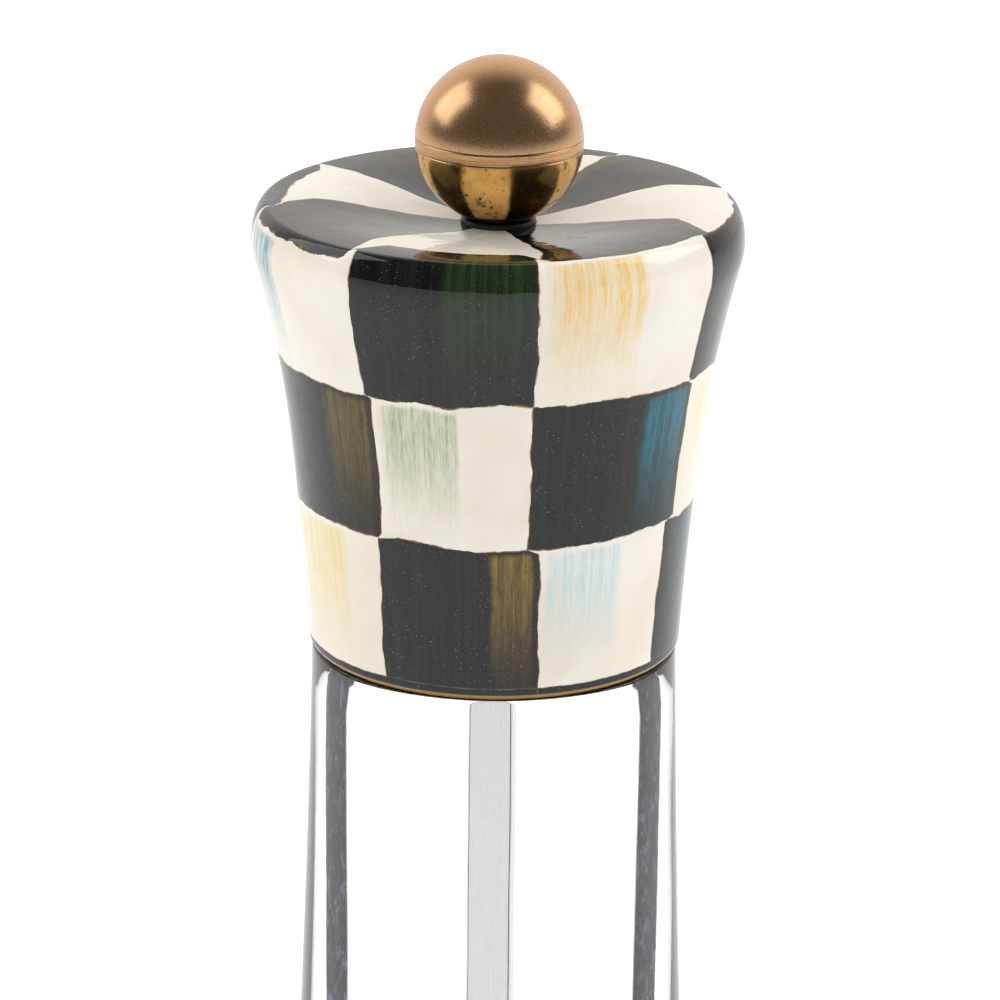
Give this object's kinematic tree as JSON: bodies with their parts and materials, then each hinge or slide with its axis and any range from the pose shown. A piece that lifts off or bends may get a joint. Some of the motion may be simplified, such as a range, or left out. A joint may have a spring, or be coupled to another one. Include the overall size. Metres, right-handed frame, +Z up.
{
  "type": "pepper mill",
  "caption": "Pepper mill with a flared painted wooden head, brass ball knob, clear body and square-shaft burr grinder.",
  "frame": {"origin": "middle of the face that stands on the table", "axes": "+Z up along the mill's axis, +X to the right when the mill is seen from the front"},
  "size_m": [0.0648, 0.0648, 0.2015],
  "materials": {
    "clear_acrylic": "clear polished acrylic",
    "rubber_ring": "matte",
    "burr_steel": "machined",
    "strap_steel": "brushed",
    "screw_steel": "satin",
    "insert_brass": "machined",
    "white_nylon": "satin",
    "spring_steel": "drawn wire",
    "shaft_aluminium": "extruded, satin",
    "painted_wood": "hand-painted cream and black checks under gloss varnish",
    "black_nylon": "satin",
    "knob_brass": "satin, lightly aged"
  },
  "bodies": {
    "base": {"body": "clear_acrylic", "base_ring": "rubber_ring", "stator": "burr_steel", "bridge": "strap_steel", "bridge_screws": "screw_steel", "screw_inserts": "insert_brass"},
    "carrier": {"bridge_bush": "white_nylon", "spring": "spring_steel"},
    "shaft": {"shaft": "shaft_aluminium", "shaft_stud": "screw_steel", "rotor": "burr_steel", "rotor_washer": "screw_steel", "retaining_clip": "spring_steel"},
    "head": {"head": "painted_wood", "drive_plate": "strap_steel", "drive_plate_screws": "screw_steel", "head_bushing": "black_nylon"},
    "knob_seat": {"knob_washer": "black_nylon"},
    "knob": {"knob": "knob_brass"}
  },
  "joints": [
    {"name": "grind_turn", "type": "hinge", "parent": "base", "child": "carrier", "pos_m": [0, 0, 0.006], "axis": [0, 0, 1], "continuous": true},
    {"name": "grind_set", "type": "slide", "parent": "carrier", "child": "shaft", "axis": [0, 0, 1], "range_m": [-0.0012, 0], "deforming": ["spring"]},
    {"name": "head_lift", "type": "slide", "parent": "carrier", "child": "head", "axis": [0, 0, 1], "range_m": [0, 0.085]},
    {"name": "knob_lift", "type": "slide", "parent": "head", "child": "knob_seat", "axis": [0, 0, 1], "range_m": [0, 0.03]},
    {"name": "knob_turn", "type": "hinge", "parent": "knob_seat", "child": "knob", "pos_m": [0, 0, 0.1905], "axis": [0, 0, 1], "range_deg": [0, 540]}
  ],
  "couplings": [
    {"joint": "knob_turn", "follows": "grind_set", "rad_per_m": -7853.9}
  ]
}
